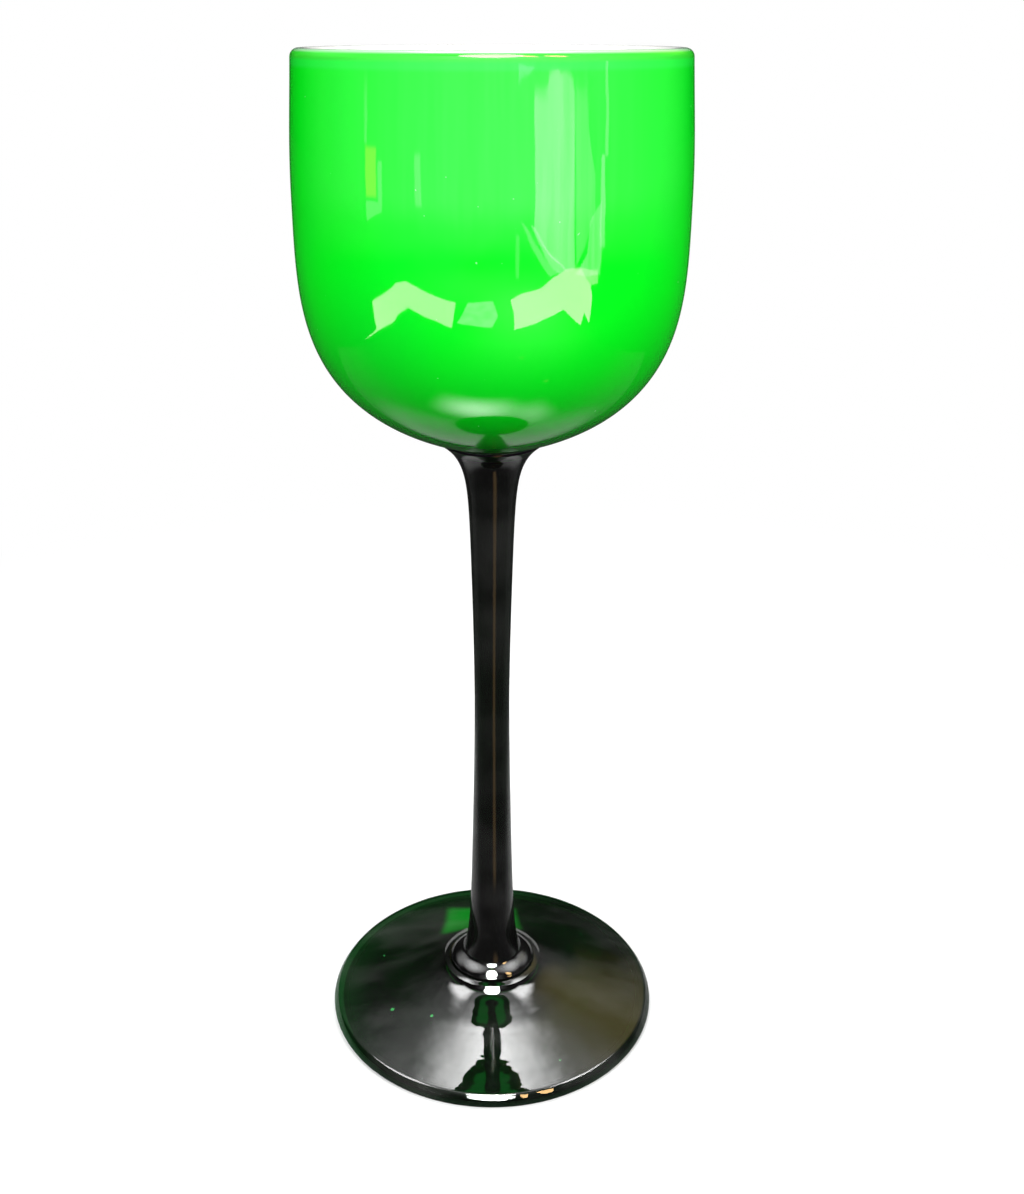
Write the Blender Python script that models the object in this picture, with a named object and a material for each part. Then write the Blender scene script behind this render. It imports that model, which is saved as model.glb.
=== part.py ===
# Stemmed goblet of cased glass. A green casing over a white lining makes the bowl, and a
# dark stem, a small collar and a wide foot carry it. Each piece is turned about the Z axis.
# Metres, +Z up. The origin is on the axis, in the plane that the foot stands on.

import math

import bmesh
import bpy
import numpy as np

for item in list(bpy.data.objects):
    bpy.data.objects.remove(item, do_unlink=True)

# Gap that is left between pieces which are fused in the real glass
JOINT_GAP = 0.0003

# Foot: a low cone with a rounded edge, a raised hub in the middle and a hollow underside
FOOT_RADIUS = 0.0362
FOOT_EDGE = 0.0029
FOOT_EDGE_SLOPE = math.radians(14.0)
FOOT_FULLNESS = 0.51
FOOT_REST_WIDTH = 0.0057
FOOT_HOLLOW = 0.0050
HUB_HEIGHT = 0.0101
HUB_STEP = 0.0019
HUB_ROUND = 0.0012
HUB_SLOPE = math.radians(30.4)
HUB_FULLNESS = 0.24

# Collar: a pressed button between the foot and the stem
COLLAR_RADIUS = 0.0092
COLLAR_HEIGHT = 0.0029
COLLAR_EDGE = 0.0018

# Stem: drawn to a waist, spread at both ends
STEM_LENGTH = 0.11805
STEM_BASE_RADIUS = 0.0062
STEM_BASE_SPREAD = 0.0015
STEM_BASE_REACH = 0.0044
STEM_WAIST_RADIUS = 0.0036
STEM_WAIST_HEIGHT = 0.0634
STEM_TOP_SPREAD = 0.0013
STEM_TOP_REACH = 0.0035
STEM_TAPER_POWER = 1.5
STEM_EDGE = 0.0004

# Bowl: the casing's outer face, from the ring where the stem ends to the rim
JOINT_RADIUS = 0.0096
JOINT_SLOPE = math.radians(17.8)
SHOULDER_DROP = 0.0436
SHOULDER_SIDE_FULLNESS = 0.41
SHOULDER_BASE_FULLNESS = 1.03
WIDEST_RADIUS = 0.0350
WALL_HEIGHT = 0.02475
RIM_RADIUS = 0.0339
WALL_FULLNESS = 0.4
CASING_THICKNESS = 0.0015
LINING_THICKNESS = 0.0012

# Counts of steps along and around the shapes
BOWL_SIDES = 48
STEM_SIDES = 32
COLLAR_SIDES = 40
FOOT_SIDES = 56
LIP_STEPS = 4
WALL_STEPS = 4
SHOULDER_STEPS = 10
BASE_STEPS = 3
STEM_STEPS = 22
DISH_STEPS = 5
COLLAR_EDGE_STEPS = 6
HUB_STEPS = 4
SWEEP_STEPS = 10
FOOT_EDGE_STEPS = 4
HOLLOW_STEPS = 6

# Heights of the seats, from the foot up
COLLAR_BOTTOM = HUB_HEIGHT + JOINT_GAP
COLLAR_TOP = COLLAR_BOTTOM + COLLAR_HEIGHT
STEM_BOTTOM = COLLAR_TOP + JOINT_GAP
JOINT_HEIGHT = STEM_BOTTOM + STEM_LENGTH
WIDEST_HEIGHT = JOINT_HEIGHT + SHOULDER_DROP
RIM_HEIGHT = WIDEST_HEIGHT + WALL_HEIGHT
LIP_FOOT = RIM_HEIGHT - max(CASING_THICKNESS, LINING_THICKNESS)
STEM_TOP = JOINT_HEIGHT - JOINT_GAP - STEM_EDGE

# Linear colours and finishes
GREEN_GLASS = (0.010, 0.760, 0.030, 1.0)
WHITE_GLASS = (0.900, 0.910, 0.890, 1.0)
DARK_GLASS = (0.006, 0.012, 0.008, 1.0)
POLISHED = 0.05
SHARP_FROM = math.radians(40.0)
MERGE_WITHIN = 1e-7


def cubic(start, start_pull, end_pull, end, steps):
    """Points (radius, height) along a cubic curve, both ends included."""
    t = np.linspace(0.0, 1.0, steps + 1)[:, None]
    near = (1 - t) ** 3 * np.array(start) + 3 * (1 - t) ** 2 * t * np.array(start_pull)
    far = 3 * (1 - t) * t**2 * np.array(end_pull) + t**3 * np.array(end)
    return near + far


def arc(centre, radius, start, end, steps):
    """Points along a circle, by angles from the radial direction, both ends included."""
    angles = np.linspace(start, end, steps + 1)
    return np.array(centre) + radius * np.stack([np.cos(angles), np.sin(angles)], axis=1)


def bowl_base(inset):
    """The bowl's bottom under the stem joint, from the joint to the axis, moved in by an inset."""
    radii = np.linspace(JOINT_RADIUS, 0.0, BASE_STEPS + 1)
    rise = JOINT_RADIUS * math.tan(JOINT_SLOPE) / 2
    heights = JOINT_HEIGHT - rise * (1 - (radii / JOINT_RADIUS) ** 2)
    slopes = np.arctan(math.tan(JOINT_SLOPE) * radii / JOINT_RADIUS)
    return np.stack([radii - inset * np.sin(slopes), heights + inset * np.cos(slopes)], axis=1)


def bowl_side(inset):
    """The bowl's side from the foot of the lip's rounding to the stem joint, moved in by an inset."""
    wall_pull = WALL_FULLNESS * (LIP_FOOT - WIDEST_HEIGHT)
    wall = cubic(
        (RIM_RADIUS, LIP_FOOT),
        ((RIM_RADIUS + WIDEST_RADIUS) / 2, LIP_FOOT - wall_pull),
        (WIDEST_RADIUS, WIDEST_HEIGHT + wall_pull),
        (WIDEST_RADIUS, WIDEST_HEIGHT),
        WALL_STEPS,
    )
    base_pull = SHOULDER_BASE_FULLNESS * (WIDEST_RADIUS - JOINT_RADIUS)
    shoulder = cubic(
        (WIDEST_RADIUS, WIDEST_HEIGHT),
        (WIDEST_RADIUS, WIDEST_HEIGHT - SHOULDER_SIDE_FULLNESS * SHOULDER_DROP),
        (JOINT_RADIUS + base_pull, JOINT_HEIGHT + base_pull * math.tan(JOINT_SLOPE)),
        (JOINT_RADIUS, JOINT_HEIGHT),
        SHOULDER_STEPS,
    )
    face = np.concatenate([wall, shoulder[1:]])
    along = np.gradient(face, axis=0)
    along /= np.linalg.norm(along, axis=1)[:, None]
    along[-1] = (-math.cos(JOINT_SLOPE), -math.sin(JOINT_SLOPE))
    along[0] = (0.0, -1.0)
    return face + inset * np.stack([along[:, 1], -along[:, 0]], axis=1)


def bowl_face(inset):
    """The bowl's face from the lip to the axis, moved in by an inset."""
    return np.concatenate([bowl_side(inset)[:-1], bowl_base(inset)])


def stem_radius(height):
    """The stem's radius at a height: a waist, a slow taper from it and a flare at each end."""
    waist = STEM_BOTTOM + STEM_WAIST_HEIGHT
    above = np.clip((height - waist) / (STEM_TOP - waist), 0.0, 1.0)
    below = np.clip((waist - height) / (waist - STEM_BOTTOM), 0.0, 1.0)
    taper = STEM_TOP_SPREAD * above**STEM_TAPER_POWER + STEM_BASE_SPREAD * below**STEM_TAPER_POWER
    top_flare = JOINT_RADIUS - STEM_WAIST_RADIUS - STEM_TOP_SPREAD
    base_flare = STEM_BASE_RADIUS - STEM_WAIST_RADIUS - STEM_BASE_SPREAD
    flare = top_flare * np.exp((height - STEM_TOP) / STEM_TOP_REACH)
    flare += base_flare * np.exp((STEM_BOTTOM - height) / STEM_BASE_REACH)
    return STEM_WAIST_RADIUS + taper + flare


def turned(name, outline, sides, colour):
    """A closed solid from an outline that starts and ends on the axis and runs down its outer side."""
    shape = bmesh.new()
    points = [shape.verts.new((radius, 0.0, height)) for radius, height in outline]
    edges = [shape.edges.new(pair) for pair in zip(points[:-1], points[1:])]
    bmesh.ops.spin(
        shape,
        geom=points + edges,
        cent=(0.0, 0.0, 0.0),
        axis=(0.0, 0.0, 1.0),
        angle=2 * math.pi,
        steps=sides,
        use_merge=True,
    )
    bmesh.ops.remove_doubles(shape, verts=shape.verts[:], dist=MERGE_WITHIN)
    bmesh.ops.recalc_face_normals(shape, faces=shape.faces[:])
    mesh = bpy.data.meshes.new(name)
    shape.to_mesh(mesh)
    shape.free()
    mesh.shade_smooth()
    mesh.set_sharp_from_angle(angle=SHARP_FROM)
    material = bpy.data.materials.new(name)
    material.use_nodes = True
    surface = material.node_tree.nodes["Principled BSDF"].inputs
    surface["Base Color"].default_value = colour
    surface["Roughness"].default_value = POLISHED
    surface["Metallic"].default_value = 0.0
    mesh.materials.append(material)
    piece = bpy.data.objects.new(name, mesh)
    bpy.context.scene.collection.objects.link(piece)


# The foot: hub seat, hub rounding, sweep of the cone, rounded edge, resting ring, hollow
hub_radius = COLLAR_RADIUS + HUB_STEP
hub_centre = (hub_radius - HUB_ROUND, HUB_HEIGHT - HUB_ROUND)
edge_round = FOOT_EDGE / 2
edge_centre = (FOOT_RADIUS - edge_round, edge_round)
edge_top = arc(edge_centre, edge_round, math.pi / 2 - FOOT_EDGE_SLOPE, 0.0, FOOT_EDGE_STEPS)
edge_under = arc(edge_centre, edge_round, 0.0, -math.pi / 2, FOOT_EDGE_STEPS)
hub = arc(hub_centre, HUB_ROUND, math.pi / 2, math.pi / 2 - HUB_SLOPE, HUB_STEPS)
sweep_width = edge_top[0][0] - hub[-1][0]
hub_pull = HUB_FULLNESS * sweep_width
edge_pull = FOOT_FULLNESS * sweep_width
sweep = cubic(
    hub[-1],
    (hub[-1][0] + hub_pull, hub[-1][1] - hub_pull * math.tan(HUB_SLOPE)),
    (edge_top[0][0] - edge_pull, edge_top[0][1] + edge_pull * math.tan(FOOT_EDGE_SLOPE)),
    edge_top[0],
    SWEEP_STEPS,
)
hollow_radii = np.linspace(edge_centre[0] - FOOT_REST_WIDTH, 0.0, HOLLOW_STEPS + 1)
hollow_heights = FOOT_HOLLOW * (1 - (hollow_radii / hollow_radii[0]) ** 2)
turned(
    "foot",
    np.concatenate(
        [
            [(0.0, HUB_HEIGHT)],
            hub,
            sweep[1:-1],
            edge_top,
            edge_under[1:],
            np.stack([hollow_radii, hollow_heights], axis=1),
        ]
    ),
    FOOT_SIDES,
    DARK_GLASS,
)

# The collar: a seat for the stem, a dished shoulder and a half-round edge on the hub
collar_round = COLLAR_EDGE / 2
collar_centre = (COLLAR_RADIUS - collar_round, COLLAR_BOTTOM + collar_round)
collar_edge = arc(collar_centre, collar_round, math.pi / 2, -math.pi / 2, COLLAR_EDGE_STEPS)
dish_middle = (STEM_BASE_RADIUS + collar_centre[0]) / 2
dish = cubic(
    (STEM_BASE_RADIUS, COLLAR_TOP),
    (STEM_BASE_RADIUS, (COLLAR_TOP + collar_edge[0][1]) / 2),
    (dish_middle, collar_edge[0][1]),
    collar_edge[0],
    DISH_STEPS,
)
turned(
    "stem_collar",
    np.concatenate([[(0.0, COLLAR_TOP)], dish[:-1], collar_edge, [(0.0, COLLAR_BOTTOM)]]),
    COLLAR_SIDES,
    DARK_GLASS,
)

# The stem: a cup that follows the bowl's bottom, a thin edge, the drawn side and a flat seat
cup = bowl_base(-JOINT_GAP)[::-1]
spacing = (1 - np.cos(np.linspace(0.0, math.pi, STEM_STEPS + 1))) / 2
stem_heights = STEM_TOP + (STEM_BOTTOM - STEM_TOP) * spacing
stem_side = np.stack([stem_radius(stem_heights), stem_heights], axis=1)
turned("stem", np.concatenate([cup, stem_side, [(0.0, STEM_BOTTOM)]]), STEM_SIDES, DARK_GLASS)

# The casing: its inner face up to the crest, then the lip's outer rounding and the outer face
crest_radius = RIM_RADIUS - CASING_THICKNESS
casing_lip = arc(
    (crest_radius, RIM_HEIGHT - CASING_THICKNESS), CASING_THICKNESS, math.pi / 2, 0.0, LIP_STEPS
)
turned(
    "bowl_casing",
    np.concatenate([bowl_face(CASING_THICKNESS)[::-1], casing_lip, bowl_face(0.0)[1:]]),
    BOWL_SIDES,
    GREEN_GLASS,
)

# The lining: its inner face, the lip's inner rounding, then the outer face inside the casing
lining_inset = CASING_THICKNESS + JOINT_GAP
lining_outer = bowl_face(lining_inset)
lining_inner = bowl_face(lining_inset + LINING_THICKNESS)
lining_lip = arc(
    (crest_radius - JOINT_GAP, RIM_HEIGHT - LINING_THICKNESS),
    LINING_THICKNESS,
    math.pi,
    math.pi / 2,
    LIP_STEPS,
)
turned(
    "bowl_lining",
    np.concatenate([lining_inner[::-1], lining_lip, lining_outer]),
    BOWL_SIDES,
    WHITE_GLASS,
)
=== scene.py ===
# A stemmed goblet of cased glass: a green bowl with a white lining on a dark stem, collar and foot.
# Each gather of glass is its own piece, turned about the Z axis. Metres, +Z up.

import math

import bpy
import numpy as np
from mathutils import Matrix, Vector


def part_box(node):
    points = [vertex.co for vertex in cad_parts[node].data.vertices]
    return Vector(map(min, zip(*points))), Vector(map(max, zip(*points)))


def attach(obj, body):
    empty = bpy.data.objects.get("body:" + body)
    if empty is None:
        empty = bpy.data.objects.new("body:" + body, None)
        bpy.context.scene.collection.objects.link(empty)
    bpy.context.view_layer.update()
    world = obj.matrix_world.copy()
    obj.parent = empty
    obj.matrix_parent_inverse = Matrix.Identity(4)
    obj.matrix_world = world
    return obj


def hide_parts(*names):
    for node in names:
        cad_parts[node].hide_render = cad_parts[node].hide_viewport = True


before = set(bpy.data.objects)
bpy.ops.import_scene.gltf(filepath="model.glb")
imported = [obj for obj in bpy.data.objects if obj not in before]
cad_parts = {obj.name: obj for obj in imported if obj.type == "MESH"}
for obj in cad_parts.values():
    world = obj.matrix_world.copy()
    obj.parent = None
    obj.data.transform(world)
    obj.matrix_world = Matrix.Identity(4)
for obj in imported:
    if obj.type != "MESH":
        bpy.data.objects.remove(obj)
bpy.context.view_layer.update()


# The foot: a wide low cone of dark green glass, almost black where it is thick. It is spread from
# its own gather and turned with a wooden paddle, which leaves a raised hub, a thick rounded edge
# and a hollow underside that stands on a narrow ring.
FOOT_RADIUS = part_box("foot")[1].x
HUB_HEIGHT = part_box("foot")[1].z
CROWN_TOP = 0.01049
CROWN_SLOPES = (
    (0.0095, 10.0),
    (0.0096, 20.0),
    (0.0104, 24.0),
    (0.0106, 44.0),
    (0.0110, 39.4),
    (0.0120, 27.0),
    (0.0130, 23.3),
    (0.0140, 20.3),
    (0.0150, 19.3),
    (0.0160, 18.8),
    (0.0170, 18.5),
    (0.0185, 16.6),
    (0.0210, 11.6),
    (0.0250, 12.4),
    (0.0290, 12.6),
    (0.0344, 13.0),
    (0.0348, 26.0),
    (0.0350, 50.0),
    (0.0355, 58.0),
)
HUB_ROUND = 0.0002
EDGE_INSET = 0.0003
EDGE_HEIGHT = 0.0010
EDGE_TOP_PULL = 0.5
EDGE_TOP_ROUND = 0.0003
EDGE_UNDER_PULL = 0.45
REST_RADIUS = 0.0348
HOLLOW_RADIUS = 0.0335
HOLLOW_DEPTH = 0.0050
FOOT_SIDES = 160
FOOT_WAVER = 0.00006
FOOT_WAVER_LENGTH = 0.016
FOOT_WAVER_SEED = 112.0
FOOT_STILL_BELOW = 0.0005
STILL_FADE = 0.002
DARK_TINT = (0.10, 0.25, 0.14, 1.0)
DARK_CORD = (0.07, 0.20, 0.10, 1.0)
DARK_DEPTH_COLOUR = (0.0, 0.55, 0.18, 1.0)
DARK_DEPTH = 1000.0
CORD_SCALE = 110.0
EVEN_CORDS = (1.0, 1.0, 1.0)
SMEAR_SCALE = 75.0
SMEAR_STRETCH = (0.6, 1.3, 1.0)
SPECK_SCALE = 1900.0
RIPPLE_SCALE = 150.0
RIPPLE_STRENGTH = 0.12
RIPPLE_DEPTH = 0.0006
POLISH = 0.02
SCUFFED_BELOW = 0.0001
SCUFF_FADE = 0.0006
FILM = (0.60, 0.60, 0.58, 1.0)
LEAST_DUST = 0.004
SMEARED_DUST = 0.016
FOOT_DUST = 0.045
# Seeds of trapped air in the foot, at these spots, painted green as glints of the light that they
# catch.
SEED_GLINT_GREEN = (0.03, 0.30, 0.07, 1.0)
SEED_SPOTS = (
    (-0.0219, -0.0120, 0.00060),
    (-0.0131, -0.0152, 0.00048),
    (0.0143, -0.0262, 0.00026),
    (-0.0251, 0.0064, 0.00026),
    (0.0212, 0.0143, 0.00024),
    (-0.0047, 0.0275, 0.00028),
)
TOOL_MARK_WIDTH = 0.0022
TOOL_MARK_DEPTH = 0.15
GLASS_IOR = 1.52


class Wire:
    """An output in a node tree. Sums between wires and numbers add Math nodes to that tree."""

    def __init__(self, tree, socket=None):
        self.tree = tree
        self.socket = socket

    def node(self, kind, sockets=None, out=0, **settings):
        """A new node: its settings first, then its sockets' values or wires. Gives one output."""
        made = self.tree.nodes.new(kind)
        for name, value in settings.items():
            setattr(made, name, value)
        for key, value in (sockets or {}).items():
            if isinstance(value, Wire):
                self.tree.links.new(value.socket, made.inputs[key])
            else:
                made.inputs[key].default_value = value
        return Wire(self.tree, made.outputs[out]) if len(made.outputs) else None

    def maths(self, operation, *values):
        """A Math node on these values or wires."""
        return self.node("ShaderNodeMath", dict(enumerate(values)), operation=operation)

    def __add__(self, other):
        return self.maths("ADD", self, other)

    def __radd__(self, other):
        return self.maths("ADD", other, self)

    def __sub__(self, other):
        return self.maths("SUBTRACT", self, other)

    def __rsub__(self, other):
        return self.maths("SUBTRACT", other, self)

    def __mul__(self, other):
        return self.maths("MULTIPLY", self, other)

    def __rmul__(self, other):
        return self.maths("MULTIPLY", other, self)

    def __truediv__(self, other):
        return self.maths("DIVIDE", self, other)

    def __rtruediv__(self, other):
        return self.maths("DIVIDE", other, self)

    def output(self, name):
        """Another output of the node that this wire comes from."""
        return Wire(self.tree, self.socket.node.outputs[name])

    def axis(self, name):
        """One axis of a vector."""
        return self.node("ShaderNodeSeparateXYZ", {0: self}, out=name)

    def step(self, start, end):
        """0 before start, 1 past end, with a soft slope between them."""
        ends = {"Value": self, "From Min": start, "From Max": end}
        return self.node("ShaderNodeMapRange", ends, interpolation_type="SMOOTHSTEP")

    def mix(self, first, second):
        """A colour that goes from first to second as this wire goes from 0 to 1."""
        return self.node("ShaderNodeMix", {0: self, 6: first, 7: second}, out=2, data_type="RGBA")

    def grain(self, scale, detail=2.0, seed=0.0, stretch=(1.0, 1.0, 1.0)):
        """Noise around 0.5 over the places that this wire holds."""
        spread = self.node(
            "ShaderNodeVectorMath", {0: self, 1: stretch}, operation="MULTIPLY"
        )
        ends = {"Vector": spread, "W": seed, "Scale": scale, "Detail": detail}
        return self.node("ShaderNodeTexNoise", ends, noise_dimensions="4D")


def cubic(start, start_pull, end_pull, end, steps):
    """Points (radius, height) along a cubic curve, both ends included."""
    t = np.linspace(0.0, 1.0, steps + 1)[:, None]
    near = (1 - t) ** 3 * np.array(start) + 3 * (1 - t) ** 2 * t * np.array(start_pull)
    far = 3 * (1 - t) * t**2 * np.array(end_pull) + t**3 * np.array(end)
    return near + far


def arc(centre, radius, start, end, steps):
    """Points along a circle, by angles from the radial direction, both ends included."""
    angles = np.linspace(start, end, steps + 1)
    return np.array(centre) + radius * np.stack([np.cos(angles), np.sin(angles)], axis=1)


# The tree that turns an outline about the axis, closes its seam and poles, and gives the skin the
# slight waver of glass that was worked by hand.
turning = bpy.data.node_groups.new("Turned glass", "GeometryNodeTree")
turning_inputs = {
    label: turning.interface.new_socket(label, in_out="INPUT", socket_type=kind)
    for label, kind in {
        "Outline": "NodeSocketGeometry",
        "Sides": "NodeSocketInt",
        "Waver": "NodeSocketFloat",
        "Waver length": "NodeSocketFloat",
        "Seed": "NodeSocketFloat",
        "Still below": "NodeSocketFloat",
        "Glass": "NodeSocketMaterial",
    }.items()
}
turning.interface.new_socket("Piece", in_out="OUTPUT", socket_type="NodeSocketGeometry")
given = turning.nodes.new("NodeGroupInput")
outline, sides, waver, waver_length, seed, still_below, glass = (
    Wire(turning, given.outputs[label]) for label in turning_inputs
)
lathe = Wire(turning)
rings = lathe.node(
    "GeometryNodeAttributeDomainSize", {"Geometry": outline}, "Point Count", component="MESH"
)
columns = sides + 1
net = lathe.node("GeometryNodeMeshGrid", {"Vertices X": rings, "Vertices Y": columns}, "Mesh")
index = lathe.node("GeometryNodeInputIndex")
ring = lathe.maths("FLOOR", (index + 0.5) / columns)
turn = (index - ring * columns) / sides * math.tau
position = lathe.node("GeometryNodeInputPosition")
spot = lathe.node(
    "GeometryNodeSampleIndex",
    {"Geometry": outline, "Value": position, "Index": ring},
    data_type="FLOAT_VECTOR",
)
radius = spot.axis("X")
place = lathe.node(
    "ShaderNodeCombineXYZ",
    {
        "X": radius * lathe.maths("COSINE", turn),
        "Y": radius * lathe.maths("SINE", turn),
        "Z": spot.axis("Z"),
    },
)
skin = lathe.node("GeometryNodeSetPosition", {"Geometry": net, "Position": place})
skin = lathe.node("GeometryNodeMergeByDistance", {"Geometry": skin, "Distance": 1e-6})
worked = position.axis("Z").step(still_below, still_below + STILL_FADE)
swell = (position.grain(1 / waver_length, 1.0, seed) - 0.5) * 2.0 * waver * worked
normal = lathe.node("GeometryNodeInputNormal")
offset = lathe.node("ShaderNodeVectorMath", {0: normal, "Scale": swell}, operation="SCALE")
skin = lathe.node("GeometryNodeSetPosition", {"Geometry": skin, "Offset": offset})
skin = lathe.node("GeometryNodeSetShadeSmooth", {"Geometry": skin})
skin = lathe.node("GeometryNodeRealizeInstances", {"Geometry": skin})
skin = lathe.node("GeometryNodeSetMaterial", {"Geometry": skin, "Material": glass})
lathe.node("NodeGroupOutput", {"Piece": skin})


def turned(name, outline, glass, sides, waver, waver_length, seed, still_below=-1.0):
    """A piece from an outline that starts and ends on the axis and runs down its outer side."""
    mesh = bpy.data.meshes.new(name)
    corners = [(radius, 0.0, height) for radius, height in outline]
    mesh.from_pydata(corners, [(i, i + 1) for i in range(len(corners) - 1)], [])
    piece = bpy.data.objects.new(name, mesh)
    bpy.context.scene.collection.objects.link(piece)
    modifier = piece.modifiers.new("Turned glass", "NODES")
    modifier.node_group = turning
    for label, value in {
        "Sides": sides,
        "Waver": waver,
        "Waver length": waver_length,
        "Seed": seed,
        "Still below": still_below,
        "Glass": glass,
    }.items():
        modifier[turning_inputs[label].identifier] = value
    shaped = piece.evaluated_get(bpy.context.evaluated_depsgraph_get())
    piece.data = bpy.data.meshes.new_from_object(shaped)
    piece.modifiers.remove(modifier)
    return piece


def new_finish(name):
    """An empty material and the wire that its nodes start from."""
    material = bpy.data.materials.new(name)
    material.use_nodes = True
    material.node_tree.nodes.clear()
    return material, Wire(material.node_tree)


def dark_glass(
    name,
    seed,
    cord_stretch,
    depth=DARK_DEPTH,
    scuffed_below=0.0,
    seeds=(),
    marks=0.0,
    dust=SMEARED_DUST,
):
    """Glass that takes most light within a few millimetres, so it's black but for its thin edges.
    It has cords, a thin film of dust, the rings that a tool leaves and seeds of trapped air, whose
    spots carry a painted green glint for the light that they catch."""
    material, start = new_finish(name)
    spot = start.node("ShaderNodeTexCoord", out="Object")
    cords = spot.grain(CORD_SCALE, 3.0, seed, cord_stretch).step(0.35, 0.7)
    smears = spot.grain(SMEAR_SCALE, 4.0, seed + 3.0, SMEAR_STRETCH).step(0.42, 0.75)
    specks = spot.grain(SPECK_SCALE, 1.0, seed + 6.0).step(0.70, 0.78)
    scuffs = 1 - spot.axis("Z").step(scuffed_below, scuffed_below + SCUFF_FADE)
    ripple = spot.grain(RIPPLE_SCALE, 2.0, seed + 9.0, cord_stretch)
    flat = start.node(
        "ShaderNodeVectorMath", {0: spot, 1: (1.0, 1.0, 0.0)}, operation="MULTIPLY"
    )
    reach = start.node("ShaderNodeVectorMath", {0: flat}, "Value", operation="LENGTH")
    rings = start.node(
        "ShaderNodeTexNoise",
        {"W": reach, "Scale": 1 / TOOL_MARK_WIDTH, "Detail": 1.0},
        noise_dimensions="1D",
    )
    bump = start.node(
        "ShaderNodeBump",
        {
            "Height": ripple + rings * marks,
            "Strength": RIPPLE_STRENGTH,
            "Distance": RIPPLE_DEPTH,
        },
    )
    body = start.node(
        "ShaderNodeBsdfPrincipled",
        {
            "Base Color": cords.mix(DARK_TINT, DARK_CORD),
            "Roughness": POLISH + smears * 0.045 + specks * 0.12 + scuffs * 0.35,
            "IOR": GLASS_IOR,
            "Transmission Weight": 1.0,
            "Normal": bump,
        },
    )
    film = start.node("ShaderNodeBsdfDiffuse", {"Color": FILM})
    dusty = LEAST_DUST + smears * dust + specks * 0.03
    body = start.node("ShaderNodeMixShader", {0: dusty, 1: body, 2: film})
    # Seeds of trapped air: a green finish is mixed in at each spot, a painted glint for the light
    # that the seed catches.
    if seeds:
        seed_glints = 0.0
        for x, y, size in seeds:
            gap = start.node(
                "ShaderNodeVectorMath", {0: flat, 1: (x, y, 0.0)}, "Value", operation="DISTANCE"
            )
            seed_glints = seed_glints + (1 - (gap / size).step(0.3, 1.0))
        air = start.node(
            "ShaderNodeBsdfPrincipled", {"Base Color": SEED_GLINT_GREEN, "Roughness": 0.25}
        )
        body = start.node("ShaderNodeMixShader", {0: seed_glints, 1: body, 2: air})
    inside = start.node(
        "ShaderNodeVolumeAbsorption", {"Color": DARK_DEPTH_COLOUR, "Density": depth}
    )
    start.node("ShaderNodeOutputMaterial", {"Surface": body, "Volume": inside})
    return material


def fall(slopes, height, steps):
    """Points outward down a face from its inner edge, by its slope in degrees at some radii."""
    at, degrees = np.array(slopes).T
    radii = np.linspace(at[0], at[-1], steps + 1)
    drops = np.tan(np.radians(np.interp((radii[1:] + radii[:-1]) / 2, at, degrees)))
    heights = height - np.concatenate([[0.0], np.cumsum(drops * np.diff(radii))])
    return np.stack([radii, heights], axis=1)


hub = arc((CROWN_SLOPES[0][0], CROWN_TOP - HUB_ROUND), HUB_ROUND, math.pi, math.pi / 2, 6)
crown = fall(CROWN_SLOPES, CROWN_TOP, 200)
edge_radius = FOOT_RADIUS - EDGE_INSET
edge_slope = math.radians(CROWN_SLOPES[-1][1])
edge_pull = EDGE_TOP_PULL * (edge_radius - crown[-1][0])
edge_top = cubic(
    crown[-1],
    crown[-1] + edge_pull * np.array([1.0, -math.tan(edge_slope)]),
    (edge_radius, EDGE_HEIGHT + EDGE_TOP_ROUND),
    (edge_radius, EDGE_HEIGHT),
    12,
)
edge_under = cubic(
    (edge_radius, EDGE_HEIGHT),
    (edge_radius, EDGE_UNDER_PULL * EDGE_HEIGHT),
    ((edge_radius + REST_RADIUS) / 2, 0.0),
    (REST_RADIUS, 0.0),
    10,
)
hollow_radii = np.linspace(HOLLOW_RADIUS, 0.0, 19)
hollow_heights = HOLLOW_DEPTH * (1 - (hollow_radii / HOLLOW_RADIUS) ** 2)
hollow = np.stack([hollow_radii, hollow_heights], axis=1)
foot = turned(
    "turned_foot",
    np.concatenate(
        [
            [(0.0, HUB_HEIGHT), (hub[0][0], HUB_HEIGHT)],
            hub[:-1],
            crown[:-1],
            edge_top,
            edge_under[1:],
            hollow,
        ]
    ),
    dark_glass(
        "dark_glass_foot",
        1.0,
        EVEN_CORDS,
        scuffed_below=SCUFFED_BELOW,
        seeds=SEED_SPOTS,
        marks=TOOL_MARK_DEPTH,
        dust=FOOT_DUST,
    ),
    FOOT_SIDES,
    FOOT_WAVER,
    FOOT_WAVER_LENGTH,
    FOOT_WAVER_SEED,
    FOOT_STILL_BELOW,
)
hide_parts("foot")
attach(foot, "root")


# The collar: a small button of the same dark glass between the foot and the stem. It is pressed on
# while hot, so its top sweeps up the stem, its shoulder is rounded and it is fused to the hub.
COLLAR_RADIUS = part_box("stem_collar")[1].x
COLLAR_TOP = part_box("stem_collar")[1].z
COLLAR_SLOPES = (
    (0.0062, 64.0),
    (0.0065, 41.0),
    (0.0070, 31.0),
    (0.0074, 29.0),
    (0.0080, 33.0),
    (0.0084, 38.0),
    (0.0088, 46.0),
    (0.0090, 56.0),
)
COLLAR_ROUND = 0.0005
COLLAR_SIDES = 120
COLLAR_WAVER = 0.00003
COLLAR_WAVER_LENGTH = 0.008
COLLAR_WAVER_SEED = 2.0
FUSED = 0.0001

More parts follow.
